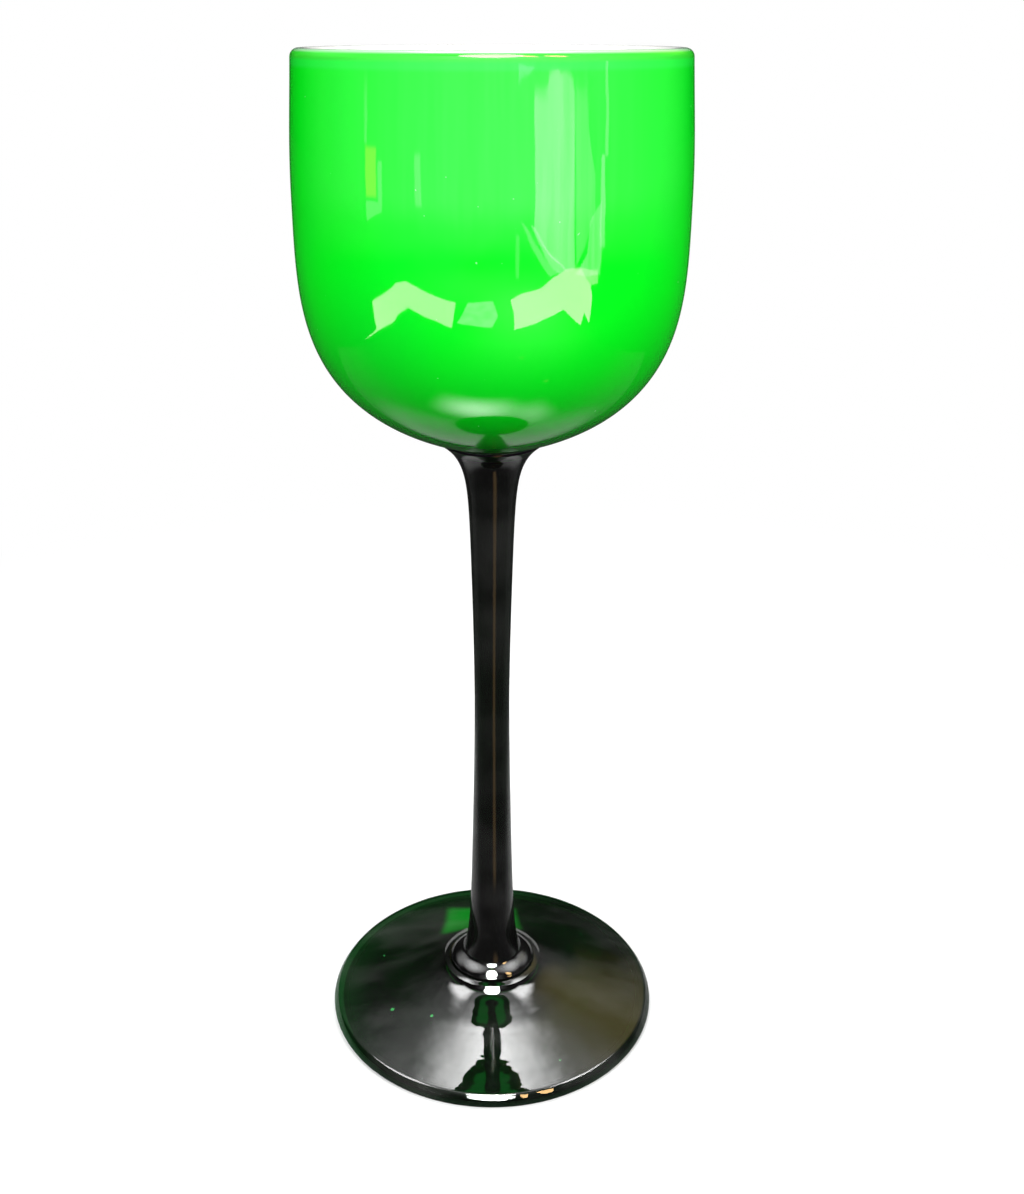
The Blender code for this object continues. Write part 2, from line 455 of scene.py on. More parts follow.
collar_bottom = HUB_HEIGHT - FUSED
dish = fall(COLLAR_SLOPES, COLLAR_TOP, 48)
shoulder_slope = math.radians(COLLAR_SLOPES[-1][1])
collar_centre = (
    COLLAR_RADIUS - COLLAR_ROUND,
    dish[-1][1] - COLLAR_ROUND * math.cos(shoulder_slope),
)
collar_edge = arc(collar_centre, COLLAR_ROUND, math.pi / 2 - shoulder_slope, -math.pi / 2, 12)
collar = turned(
    "pressed_collar",
    np.concatenate(
        [
            [(0.0, COLLAR_TOP)],
            dish,
            collar_edge[1:],
            [(collar_centre[0], collar_bottom), (0.0, collar_bottom)],
        ]
    ),
    dark_glass("dark_glass_collar", 21.0, EVEN_CORDS),
    COLLAR_SIDES,
    COLLAR_WAVER,
    COLLAR_WAVER_LENGTH,
    COLLAR_WAVER_SEED,
)
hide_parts("stem_collar")
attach(collar, "root")


# The stem: a rod of dark glass, drawn out while hot from the bowl's bottom down to the collar. It
# is thinnest near the middle, spreads to a trumpet that holds the bowl, and has faint cords along
# its length.
JOINT_RADIUS = 0.0096
JOINT_SLOPE = math.radians(17.8)
JOINT_HEIGHT = 0.13165
STEM_EDGE = 0.0007
STEM_BASE_RADIUS = COLLAR_SLOPES[0][0]
STEM_BASE_SPREAD = 0.0015
STEM_BASE_REACH = 0.0044
STEM_WAIST_RADIUS = 0.0036
STEM_WAIST_HEIGHT = 0.0634
STEM_TOP_SPREAD = 0.0013
STEM_TOP_REACH = 0.0035
STEM_TAPER_POWER = 1.5
STEM_SIDES = 96
STEM_WAVER = 0.00004
STEM_WAVER_LENGTH = 0.020
STEM_WAVER_SEED = 3.0
STEM_CORDS = (1.0, 1.0, 0.06)
STEM_DEPTH = 1.6 * DARK_DEPTH

stem_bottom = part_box("stem")[0].z
stem_top = JOINT_HEIGHT - STEM_EDGE


def bowl_base(inset, steps):
    """The bowl's bottom under the stem joint, from the joint to the axis, moved in by an inset."""
    radii = np.linspace(JOINT_RADIUS, 0.0, steps + 1)
    rise = JOINT_RADIUS * math.tan(JOINT_SLOPE) / 2
    heights = JOINT_HEIGHT - rise * (1 - (radii / JOINT_RADIUS) ** 2)
    slopes = np.arctan(math.tan(JOINT_SLOPE) * radii / JOINT_RADIUS)
    return np.stack([radii - inset * np.sin(slopes), heights + inset * np.cos(slopes)], axis=1)


stem_seat = COLLAR_TOP - FUSED
waist = stem_bottom + STEM_WAIST_HEIGHT
heights = stem_top + (stem_seat - stem_top) * (1 - np.cos(np.linspace(0.0, math.pi, 121))) / 2
above = np.clip((heights - waist) / (stem_top - waist), 0.0, 1.0)
below = np.clip((waist - heights) / (waist - stem_bottom), 0.0, 1.0)
top_flare = JOINT_RADIUS - STEM_WAIST_RADIUS - STEM_TOP_SPREAD
base_flare = STEM_BASE_RADIUS - STEM_WAIST_RADIUS - STEM_BASE_SPREAD
stem_radii = (
    STEM_WAIST_RADIUS
    + STEM_TOP_SPREAD * above**STEM_TAPER_POWER
    + STEM_BASE_SPREAD * below**STEM_TAPER_POWER
    + top_flare * np.exp((heights - stem_top) / STEM_TOP_REACH)
    + base_flare * np.exp((stem_bottom - heights) / STEM_BASE_REACH)
)
stem = turned(
    "drawn_stem",
    np.concatenate(
        [
            bowl_base(FUSED, 10)[::-1],
            np.stack([stem_radii, heights], axis=1),
            [(0.0, stem_seat)],
        ]
    ),
    dark_glass("dark_glass_stem", 41.0, STEM_CORDS, STEM_DEPTH),
    STEM_SIDES,
    STEM_WAVER,
    STEM_WAVER_LENGTH,
    STEM_WAVER_SEED,
)
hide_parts("stem")
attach(stem, "root")


# The casing: the bowl's outer skin of transparent green glass. It is blown in one with the white
# lining behind it, which makes the colour bright, and the lip is rounded off in the fire.
RIM_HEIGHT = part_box("bowl_casing")[1].z
WIDEST_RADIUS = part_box("bowl_casing")[1].x
WIDEST_HEIGHT = 0.17525
SHOULDER_SIDE_FULLNESS = 0.41
SHOULDER_BASE_FULLNESS = 1.03
RIM_RADIUS = 0.0339
WALL_FULLNESS = 0.4
CASING_THICKNESS = 0.0015
BOWL_SIDES = 192
BOWL_WAVER = 0.00005
BOWL_WAVER_LENGTH = 0.028
BOWL_WAVER_SEED = 4.0
BOWL_RIPPLE = 0.10
# Painted shade: the casing's green is darker towards the bottom of the bowl, down to the stem
# joint.
LOWER_SHADE_FADE = (JOINT_HEIGHT - 0.006, JOINT_HEIGHT + 0.038)
PAINTED_REFLECTION_LINE_FADE = (RIM_HEIGHT - 0.0031, RIM_HEIGHT - 0.0023)
LIP_FADE = (RIM_HEIGHT - 0.0018, RIM_HEIGHT - 0.0011)
CREST_FADE = (RIM_HEIGHT - 0.0006, RIM_HEIGHT)
GREEN = (0.0006, 0.920, 0.011, 1.0)
SHADED_GREEN = (0.0006, 0.470, 0.007, 1.0)
CLOUD_GREEN = (0.0012, 0.860, 0.018, 1.0)
LIP_GREEN = (0.034, 0.740, 0.030, 1.0)
# A painted reflection: the pale line just under the lip.
PAINTED_REFLECTION_LINE = (0.012, 0.920, 0.045, 1.0)
PALE_SPECK = (0.35, 0.90, 0.40, 1.0)
MINT = (0.55, 0.86, 0.58, 1.0)

lip_foot = RIM_HEIGHT - CASING_THICKNESS


def bowl_face(inset):
    """The bowl's face from the foot of the lip's rounding to the axis, moved in by an inset."""
    wall_pull = WALL_FULLNESS * (lip_foot - WIDEST_HEIGHT)
    wall = cubic(
        (RIM_RADIUS, lip_foot),
        ((RIM_RADIUS + WIDEST_RADIUS) / 2, lip_foot - wall_pull),
        (WIDEST_RADIUS, WIDEST_HEIGHT + wall_pull),
        (WIDEST_RADIUS, WIDEST_HEIGHT),
        24,
    )
    drop = WIDEST_HEIGHT - JOINT_HEIGHT
    base_pull = SHOULDER_BASE_FULLNESS * (WIDEST_RADIUS - JOINT_RADIUS)
    shoulder = cubic(
        (WIDEST_RADIUS, WIDEST_HEIGHT),
        (WIDEST_RADIUS, WIDEST_HEIGHT - SHOULDER_SIDE_FULLNESS * drop),
        (JOINT_RADIUS + base_pull, JOINT_HEIGHT + base_pull * math.tan(JOINT_SLOPE)),
        (JOINT_RADIUS, JOINT_HEIGHT),
        60,
    )
    face = np.concatenate([wall, shoulder[1:]])
    along = np.gradient(face, axis=0)
    along /= np.linalg.norm(along, axis=1)[:, None]
    along[-1] = (-math.cos(JOINT_SLOPE), -math.sin(JOINT_SLOPE))
    along[0] = (0.0, -1.0)
    side = face + inset * np.stack([along[:, 1], -along[:, 0]], axis=1)
    return np.concatenate([side[:-1], bowl_base(inset, 10)])


casing_finish, start = new_finish("green_glass")
spot = start.node("ShaderNodeTexCoord", out="Object")
height = spot.axis("Z")
clouds = spot.grain(38.0, 3.0, 61.0, (1.0, 1.0, 0.45)).step(0.35, 0.75)
smears = spot.grain(60.0, 4.0, 64.0).step(0.45, 0.75)
# Painted shade: darker green towards the bottom of the bowl.
lower_shade = 1 - height.step(*LOWER_SHADE_FADE)
green = lower_shade.mix(clouds.mix(GREEN, CLOUD_GREEN), SHADED_GREEN)
specks = spot.grain(1100.0, 1.0, 70.0).step(0.78, 0.81) * 0.7
green = specks.mix(green, PALE_SPECK)
# A painted reflection: a pale line just under the lip's rounding.
green = height.step(*PAINTED_REFLECTION_LINE_FADE).mix(green, PAINTED_REFLECTION_LINE)
green = height.step(*LIP_FADE).mix(green, LIP_GREEN)
green = height.step(*CREST_FADE).mix(green, MINT)
ripple = spot.grain(120.0, 2.0, 67.0, (1.0, 1.0, 0.5))
bump = start.node(
    "ShaderNodeBump", {"Height": ripple, "Strength": BOWL_RIPPLE, "Distance": RIPPLE_DEPTH}
)
body = start.node(
    "ShaderNodeBsdfPrincipled",
    {
        "Base Color": green,
        "Roughness": 0.03 + smears * 0.04,
        "IOR": GLASS_IOR,
        "Normal": bump,
    },
)
start.node("ShaderNodeOutputMaterial", {"Surface": body})

crest_radius = RIM_RADIUS - CASING_THICKNESS
casing_lip = arc((crest_radius, lip_foot), CASING_THICKNESS, math.pi / 2, 0.0, 12)
casing = turned(
    "green_casing",
    np.concatenate([bowl_face(CASING_THICKNESS)[::-1], casing_lip, bowl_face(0.0)[1:]]),
    casing_finish,
    BOWL_SIDES,
    BOWL_WAVER,
    BOWL_WAVER_LENGTH,
    BOWL_WAVER_SEED,
)
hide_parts("bowl_casing")
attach(casing, "root")


# The lining: opaque white glass, blown inside the casing and fused to it all over. It shows inside
# the bowl and as a thin ring at the lip.
LINING_INSET = 0.0030
LINING_LIP = 0.0012
WHITE = (0.86, 0.87, 0.85, 1.0)
WARM_WHITE = (0.83, 0.82, 0.78, 1.0)

lining_finish, start = new_finish("white_glass")
spot = start.node("ShaderNodeTexCoord", out="Object")
milk = spot.grain(45.0, 3.0, 81.0).step(0.3, 0.75)
smears = spot.grain(70.0, 4.0, 84.0).step(0.45, 0.75)
ripple = spot.grain(130.0, 2.0, 87.0)
bump = start.node(
    "ShaderNodeBump", {"Height": ripple, "Strength": BOWL_RIPPLE, "Distance": RIPPLE_DEPTH}
)
body = start.node(
    "ShaderNodeBsdfPrincipled",
    {
        "Base Color": milk.mix(WHITE, WARM_WHITE),
        "Roughness": 0.06 + smears * 0.06,
        "IOR": GLASS_IOR,
        "Normal": bump,
    },
)
start.node("ShaderNodeOutputMaterial", {"Surface": body})

lining_lip = arc(
    (RIM_RADIUS - LINING_INSET + LINING_LIP, RIM_HEIGHT - LINING_LIP),
    LINING_LIP,
    math.pi,
    math.pi / 2,
    12,
)
lining = turned(
    "white_lining",
    np.concatenate(
        [
            bowl_face(LINING_INSET)[::-1],
            lining_lip,
            [(crest_radius + FUSED, RIM_HEIGHT - FUSED)],
            bowl_face(CASING_THICKNESS - FUSED)[1:],
        ]
    ),
    lining_finish,
    BOWL_SIDES,
    BOWL_WAVER,
    BOWL_WAVER_LENGTH,
    BOWL_WAVER_SEED,
)
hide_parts("bowl_lining")
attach(lining, "root")


# The stage: a white floor that throws back little light, soft boxes, glowing sheets that only the
# polished glass mirrors, and the camera.
WHITE_LIGHT = (1.0, 1.0, 1.0, 1.0)
WARM_LIGHT = (1.0, 0.62, 0.26, 1.0)
BROWN_LIGHT = (1.0, 0.82, 0.22, 1.0)
YELLOW_LIGHT = (1.0, 0.70, 0.03, 1.0)
PALE_LIGHT = (1.0, 1.0, 0.76, 1.0)
GREEN_LIGHT = (0.20, 1.0, 0.35, 1.0)
UNDER_GREEN = (0.03, 1.0, 0.13, 1.0)
COOL_LIGHT = (0.70, 1.0, 1.0, 1.0)
NO_LIGHT = (0.0, 0.0, 0.0, 1.0)
BOWL = (0.0, 0.0, 0.17)
FOOT = (0.0, 0.0, 0.0)

# The floor looks white to the camera and through the glass. The glass mirrors a dim board instead,
# which ends behind the goblet and has a pale patch under it.
FLOOR_HALF = 3.0
FLOOR_WHITE = (0.80, 0.80, 0.80, 1.0)
FLOOR_LIFT = 0.55
FLOOR_GLOW = (0.40, 0.40, 0.40, 1.0)
FLOOR_FADE = (0.08, 0.34)
# Under the foot the floor's glow is a painted shadow, with a painted pool of light along its edge
# behind and to the left.
SHADOW_UNDER_FOOT = (0.06, 0.06, 0.06, 1.0)
UNDER_FOOT_FADE = (FOOT_RADIUS - 0.003, FOOT_RADIUS + 0.001)
LIT_SIDE = (-0.8, 0.6)
LIT_SIDE_FADE = (0.0, 0.03)
LIT_RING_FADE = (0.026, 0.035)
BOARD_FRONT = (0.02, 0.02, 0.02, 1.0)
BOARD_BACK = (0.07, 0.07, 0.07, 1.0)
BOARD_FADE = (-0.06, 0.03)
BOARD_MIDDLE = -0.01
BOARD_HALF = 0.29
BOARD_END = 0.122
BOARD_BLUR = 0.003
OFF_BOARD = (0.008, 0.008, 0.008, 1.0)
PALE_BOARD = (0.38, 0.38, 0.38, 1.0)
PALE_BOARD_CENTRE = (-0.008, 0.055, 0.0)
PALE_BOARD_HALF = (0.125, 0.080, 1.0)
PALE_BOARD_FADE = (0.55, 1.1)
MIRRORED_FLOOR = 0.02

floor_mesh = bpy.data.meshes.new("floor")
floor_mesh.from_pydata(
    [
        (-FLOOR_HALF, -FLOOR_HALF, 0.0),
        (FLOOR_HALF, -FLOOR_HALF, 0.0),
        (FLOOR_HALF, FLOOR_HALF, 0.0),
        (-FLOOR_HALF, FLOOR_HALF, 0.0),
    ],
    [],
    [(0, 1, 2, 3)],
)
floor = bpy.data.objects.new("floor", floor_mesh)
bpy.context.scene.collection.objects.link(floor)
floor_finish, start = new_finish("floor")
spot = start.node("ShaderNodeTexCoord", out="Object")
reach = start.node("ShaderNodeVectorMath", {0: spot}, "Value", operation="LENGTH")
away = start.node(
    "ShaderNodeVectorMath", {0: spot, 1: PALE_BOARD_CENTRE}, operation="SUBTRACT"
)
away = start.node("ShaderNodeVectorMath", {0: away, 1: PALE_BOARD_HALF}, operation="DIVIDE")
away = start.node("ShaderNodeVectorMath", {0: away}, "Value", operation="LENGTH")
board = spot.axis("Y").step(*BOARD_FADE).mix(BOARD_FRONT, BOARD_BACK)
board = away.step(*PALE_BOARD_FADE).mix(PALE_BOARD, board)
across = start.maths("ABSOLUTE", spot.axis("X") - BOARD_MIDDLE)
past = start.maths("MAXIMUM", across - BOARD_HALF, spot.axis("Y") - BOARD_END)
board = past.step(-BOARD_BLUR, BOARD_BLUR).mix(board, OFF_BOARD)
board = start.node("ShaderNodeBsdfDiffuse", {"Color": board})
paper = start.node("ShaderNodeBsdfDiffuse", {"Color": FLOOR_WHITE})
# Painted shadow and light in the floor's glow: dark under the foot, but for a painted pool of light
# under its edge behind and to the left, which shows green through the glass.
lit_side = spot.axis("X") * LIT_SIDE[0] + spot.axis("Y") * LIT_SIDE[1]
lit_ring = lit_side.step(*LIT_SIDE_FADE) * reach.step(*LIT_RING_FADE)
glow = reach.step(*UNDER_FOOT_FADE).mix(lit_ring.mix(SHADOW_UNDER_FOOT, WHITE_LIGHT), FLOOR_GLOW)
lift = start.node("ShaderNodeEmission", {"Color": glow, "Strength": FLOOR_LIFT})
far = start.node("ShaderNodeEmission", {"Color": WHITE_LIGHT, "Strength": 1.0})
near = start.node("ShaderNodeAddShader", {0: paper, 1: lift})
white = start.node("ShaderNodeMixShader", {0: reach.step(*FLOOR_FADE), 1: near, 2: far})
rays = start.node("ShaderNodeLightPath")
straight = rays.output("Is Camera Ray") + rays.output("Is Transmission Ray")
seen = start.maths("MINIMUM", straight + rays.output("Is Glossy Ray") * MIRRORED_FLOOR, 1.0)
start.node(
    "ShaderNodeOutputMaterial",
    {"Surface": start.node("ShaderNodeMixShader", {0: seen, 1: board, 2: white})},
)
floor_mesh.materials.append(floor_finish)

# The backdrop looks white to the camera and through the glass, and lights the goblet little.
ROOM_LIGHT = 0.05
MIRRORED_ROOM = 0.010

world = bpy.data.worlds.new("studio")
world.use_nodes = True
world.node_tree.nodes.clear()
air = Wire(world.node_tree)
rays = air.node("ShaderNodeLightPath")
straight = rays.output("Is Camera Ray") + rays.output("Is Transmission Ray")
shown = straight + rays.output("Is Glossy Ray") * MIRRORED_ROOM
shown = air.maths("MINIMUM", shown + rays.output("Is Diffuse Ray") * ROOM_LIGHT, 1.0)
dark = air.node("ShaderNodeBackground", {"Color": NO_LIGHT, "Strength": 1.0})
bright = air.node("ShaderNodeBackground", {"Color": WHITE_LIGHT, "Strength": 1.0})
backdrop = air.node("ShaderNodeMixShader", {0: shown, 1: dark, 2: bright})
air.node("ShaderNodeOutputWorld", {"Surface": backdrop})
bpy.context.scene.world = world

# The soft boxes light the scene and aren't mirrored in the glass.
SOFT_BOX_SIZE = 0.60

for name, place, aim, watts in (
    ("left_soft", (-0.62, -0.85, 0.60), BOWL, 13.2),
    ("right_soft", (0.764, -0.712, 0.55), BOWL, 13.4),
    ("top_soft", (0.0, 0.05, 0.85), FOOT, 3.4),
    ("back_soft", (0.0, 0.62, 0.45), BOWL, 3.6),
):
    light = bpy.data.lights.new(name, "AREA")
    light.size = SOFT_BOX_SIZE
    light.energy = watts
    lamp = bpy.data.objects.new(name, light)
    bpy.context.scene.collection.objects.link(lamp)
    lamp.location = place
    lamp.rotation_euler = (Vector(place) - Vector(aim)).to_track_quat("Z", "Y").to_euler()
    lamp.visible_camera = lamp.visible_glossy = False

# The glowing sheets stand for what the glass mirrors. They light nothing else.
FOLD_SCALE = 26.0
FOLD_STRETCH = (1.0, 1.0, 0.1)
SOFT = (1.0, 1.0)


def sheet(
    name,
    corners,
    glow,
    colour=WHITE_LIGHT,
    fade=None,
    folds=0.0,
    faces=None,
    spread=None,
    seen_by=(casing,),
    through=False,
    once=False,
    within=0.0,
):
    """A glowing sheet between these corners, which polished glass mirrors and nothing else sees.
    It can fade out at its sides and ends, have upright folds like a curtain's, be mirrored by some
    pieces only, be seen through the glass as well, be left out of a mirror in a mirror or be
    mirrored only by what lies within a distance."""
    mesh = bpy.data.meshes.new(name)
    mesh.from_pydata(corners, [], faces or [range(len(corners))])
    layer = mesh.uv_layers.new()
    if spread:
        for loop, corner in zip(mesh.loops, layer.data):
            corner.uv = spread[loop.vertex_index]
    finish, start = new_finish(name)
    masks = []
    if fade:
        spot = start.node("ShaderNodeTexCoord", out="UV")
        for axis, soft in zip("XY", fade):
            off_centre = start.maths("ABSOLUTE", spot.axis(axis) * 2.0 - 1.0)
            masks.append(1 - off_centre.step(1 - soft, 1.0))
    if folds:
        spot = start.node("ShaderNodeTexCoord", out="Object")
        streaks = spot.grain(FOLD_SCALE, 3.0, len(name), FOLD_STRETCH).step(0.3, 0.7)
        masks.append(1 - folds * streaks)
    if once:
        bounces = start.node("ShaderNodeLightPath", out="Ray Depth")
        masks.append(start.maths("LESS_THAN", bounces, 1.5))
    if within:
        gap = start.node("ShaderNodeLightPath", out="Ray Length")
        masks.append(start.maths("LESS_THAN", gap, within))
    lit = start.node("ShaderNodeEmission", {"Color": colour, "Strength": glow})
    clear = start.node("ShaderNodeBsdfTransparent")
    both = start.node("ShaderNodeAddShader", {0: clear, 1: lit})
    if masks:
        share = masks[0]
        for mask in masks[1:]:
            share = share * mask
        both = start.node("ShaderNodeMixShader", {0: share, 1: clear, 2: both})
    start.node("ShaderNodeOutputMaterial", {"Surface": both})
    mesh.materials.append(finish)
    glowing = bpy.data.objects.new(name, mesh)
    bpy.context.scene.collection.objects.link(glowing)
    for ray in ("camera", "diffuse", "volume_scatter", "shadow"):
        setattr(glowing, "visible_" + ray, False)
    glowing.visible_transmission = through
    if seen_by:
        group = bpy.data.collections.new(name)
        for piece in seen_by:
            group.objects.link(piece)
        glowing.light_linking.receiver_collection = group


def overhead(name, corners, glow, colour=WHITE_LIGHT, fade=None, folds=0.0, **limits):
    """A sheet above the goblet, mirrored by every piece unless some are named."""
    sheet(name, corners, glow, colour, fade, folds, **{"seen_by": (), **limits})


def facing(place, aim, width, tall):
    """The corners of a rectangle at a place, turned to a point."""
    way = (Vector(aim) - Vector(place)).normalized()
    side = way.cross((0.0, 0.0, 1.0)).normalized()
    rise = side.cross(way) * tall / 2
    side = side * width / 2
    return [Vector(place) + x * side + y * rise for x, y in ((-1, -1), (1, -1), (1, 1), (-1, 1))]


def oval(place, aim, width, tall):
    """The corners of an oval at a place, turned to a point."""
    left_low, right_low, _, left_high = facing(place, aim, width, tall)
    middle, side, rise = Vector(place), (right_low - left_low) / 2, (left_high - left_low) / 2
    turns = np.linspace(0.0, math.tau, 24, endpoint=False)
    return [middle + math.cos(turn) * side + math.sin(turn) * rise for turn in turns]


# Overhead: a soft ceiling light, the lamps, and dim cloth to the sides. Sheets that are seen over
# each other stand at distances of their own.
LAMP_GLOW = 80.0
EDGE_LAMP_GLOW = 60.0
WARM_GLOW = 24.0
NEAR_EDGE = 0.792

ceiling_core = facing((0.0, 0.29, 0.78), FOOT, 0.50, 0.42)
overhead("overhead_core", ceiling_core, 17.0, fade=SOFT, once=True)
ceiling_wide = facing((0.0, 0.25, 0.80), FOOT, 1.20, 0.90)
overhead("overhead_wide", ceiling_wide, 2.2, fade=SOFT, once=True)
ceiling_top = facing((0.0, -0.05, 0.84), FOOT, 1.10, 0.60)
overhead("overhead_top", ceiling_top, 3.0, fade=SOFT, seen_by=(foot, collar), once=True)
for side, way in (("left", -1), ("right", 1)):
    foot_light = facing((way * 0.41, 0.045, 0.78), FOOT, 0.54, 0.40)
    overhead(f"overhead_{side}", foot_light, 17.0, fade=(0.6, 0.6), seen_by=(foot,), once=True)
    collar_light = facing((way * 0.43, 0.08, 0.80), FOOT, 0.95, 0.80)
    overhead(f"overhead_{side}_dim", collar_light, 9.0, fade=SOFT, seen_by=(collar,), once=True)
    collar_side = facing((way * 0.60, 0.34, 0.50), FOOT, 0.70, 0.60)
    overhead(f"side_{side}_dim", collar_side, 2.4, fade=SOFT, seen_by=(collar,), once=True)
front_lamp = oval((0.0, -0.42, 0.74), FOOT, 0.33, 0.62)
overhead("overhead_front", front_lamp, LAMP_GLOW, seen_by=(foot, collar), once=True)
stem_lamp = oval((0.0, -0.43, 0.76), FOOT, 0.33, 0.62)
overhead("overhead_stem", stem_lamp, LAMP_GLOW, seen_by=(stem,))
lip_lamp = oval((0.0, -0.36, 0.78), FOOT, 0.33, 0.50)
overhead("overhead_lip", lip_lamp, 18.0, PALE_LIGHT, seen_by=(casing, lining))
edge_lamp = oval((0.0, -0.70, 0.39), FOOT, 0.42, 0.30)
overhead("edge_lamp", edge_lamp, EDGE_LAMP_GLOW, seen_by=(foot,), once=True, within=NEAR_EDGE)
for name, place, width, tall, limits in (
    ("warm_lamp", (0.245, -0.66, 0.39), 0.065, 0.30, {"seen_by": (foot,), "within": NEAR_EDGE}),
    ("warm_lamp_far", (0.40, -0.57, 0.39), 0.12, 0.30, {"seen_by": (foot,), "within": NEAR_EDGE}),
    ("warm_lamp_side", (0.44, -0.30, 0.64), 0.13, 0.26, {"seen_by": (collar,)}),
    ("warm_lamp_lip", (0.185, -0.36, 0.74), 0.08, 0.18, {"seen_by": (casing, lining)}),
    ("warm_lamp_lip_far", (0.30, -0.29, 0.70), 0.11, 0.18, {"seen_by": (casing, lining)}),
):
    overhead(name, oval(place, FOOT, width, tall), WARM_GLOW, WARM_LIGHT, **limits)
brown_cloth = facing((0.30, 0.45, 0.57), FOOT, 0.90, 0.70)
overhead("brown_sheet", brown_cloth, 0.9, BROWN_LIGHT, SOFT)
grey_cloth = facing((-0.45, 0.25, 0.57), FOOT, 0.90, 0.70)
overhead("grey_sheet", grey_cloth, 0.6, fade=SOFT, folds=0.6)
front_wall = facing((0.0, -0.70, 0.80), BOWL, 1.20, 0.70)
overhead("upper_front", front_wall, 0.8, fade=(0.7, 0.5))

# The room: a dim round wall in front of the goblet.
ROOM_COLOUR = (1.0, 1.0, 1.2, 1.0)
ROOM_GLOW = 1.9
ROOM_RADIUS = 0.90
ROOM_SPREAD = 140.0
ROOM_TURN = 5.0
ROOM_LOW = 0.0
ROOM_HIGH = 1.86
ROOM_PANELS = 22

turns = np.linspace(-1.0, 1.0, ROOM_PANELS + 1)
room_corners = [
    (
        ROOM_RADIUS * math.sin(math.radians(turn * ROOM_SPREAD + ROOM_TURN)),
        -ROOM_RADIUS * math.cos(math.radians(turn * ROOM_SPREAD + ROOM_TURN)),
        height,
    )
    for height in (ROOM_LOW, ROOM_HIGH)
    for turn in turns
]
sheet(
    "room",
    room_corners,
    ROOM_GLOW,
    ROOM_COLOUR,
    fade=(1.0, 0.13),
    folds=0.22,
    faces=[(i, i + 1, i + ROOM_PANELS + 2, i + ROOM_PANELS + 1) for i in range(ROOM_PANELS)],
    spread=[((turn + 1) / 2, end) for end in (0.0, 1.0) for turn in turns],
)

# On that wall: a window to the right with its frame and the rays below it, and lit frames to the
# left. Sheets that lie over each other are at distances of their own.
WALL_RADIUS = 0.80
RAY_RADIUS = 0.79


def on_wall(*corners, away=WALL_RADIUS):
    """Places on a round wall by their bearings and slopes from the bowl's middle, in degrees."""
    turns = [(math.radians(bearing), math.radians(slope)) for bearing, slope in corners]
    return [
        (away * math.sin(turn), -away * math.cos(turn), BOWL[2] + away * math.tan(slope))
        for turn, slope in turns
    ]


def panel(left, right, low, high):
    """An upright panel of that wall."""
    return on_wall((left, low), (right, low), (right, high), (left, high))


window = on_wall(
    (22.5, 6.35), (29.0, 6.35), (30.0, 6.6), (32.0, 6.75), (35.2, 6.7), (36.8, 6.4),
    (38.9, 6.42), (42.1, 6.3), (44.3, 6.0), (44.3, -0.5), (45.4, -10.8), (40.6, -10.8),
    (32.0, -9.2), (22.3, -7.3),
)
sheet("window", window, 5.6, folds=0.4)
window_side = on_wall((44.6, 6.0), (51.5, 5.9), (57.0, -0.9), (57.5, -5.6), (46.2, -10.5))
sheet("window_side", window_side, 2.2, folds=0.6)
window_frame = on_wall((60.6, 1.3), (62.6, 1.2), (64.0, -8.2), (60.5, -8.2))
sheet("window_frame", window_frame, 3.4)
sheet("window_post", panel(62.9, 64.6, 1.0, 7.0), 2.6)
sun_ray = on_wall((15.2, -6.4), (17.0, -6.7), (36.5, -11.0), (32.5, -11.8))
sheet("sun_ray", sun_ray, 2.6)
high_ray = (20.3, -6.9), (22.4, -7.1), (41.0, -10.7), (37.0, -11.3)
sheet("sun_ray_high", on_wall(*high_ray, away=RAY_RADIUS), 4.6)
right_ray = (54.0, -6.6), (61.0, -4.4), (61.5, -7.6), (61.2, -11.6), (46.0, -11.4), (53.0, -9.0)
sheet("sun_ray_right", on_wall(*right_ray, away=RAY_RADIUS), 4.4, folds=0.5)
sheet("near_frame", panel(12.8, 14.6, -14.6, -7.5), 1.4)
cool_corner = on_wall((13.8, 7.6), (23.0, 7.2), (20.0, 6.85), (14.2, 6.72))
sheet("cool_corner", cool_corner, 3.0, COOL_LIGHT)
sheet("left_line", panel(-72.0, -70.2, 2.1, 5.3), 1.4)
sheet("left_frame", panel(-71.6, -64.0, -4.4, 2.1), 3.6, YELLOW_LIGHT, (0.2, 0.2))
left_sill = on_wall(
    (-71.4, -4.6), (-63.4, -4.6), (-63.4, 0.3), (-60.6, 0.4), (-61.2, -5.6), (-71.4, -6.7)
)
sheet("left_sill", left_sill, 1.9)
sheet("left_strip", panel(-41.6, -37.2, -5.2, 2.7), 2.0, fade=(0.2, 0.25))


# On the floor: sunlit cloths in front, a faint glow around them, the glare beside the foot and the
# light that the foot catches behind the stem.
def on_floor(*corners, up=0.0010):
    """Places just above the floor. Sheets that lie over each other need heights of their own."""
    return [(x, y, up) for x, y in corners]


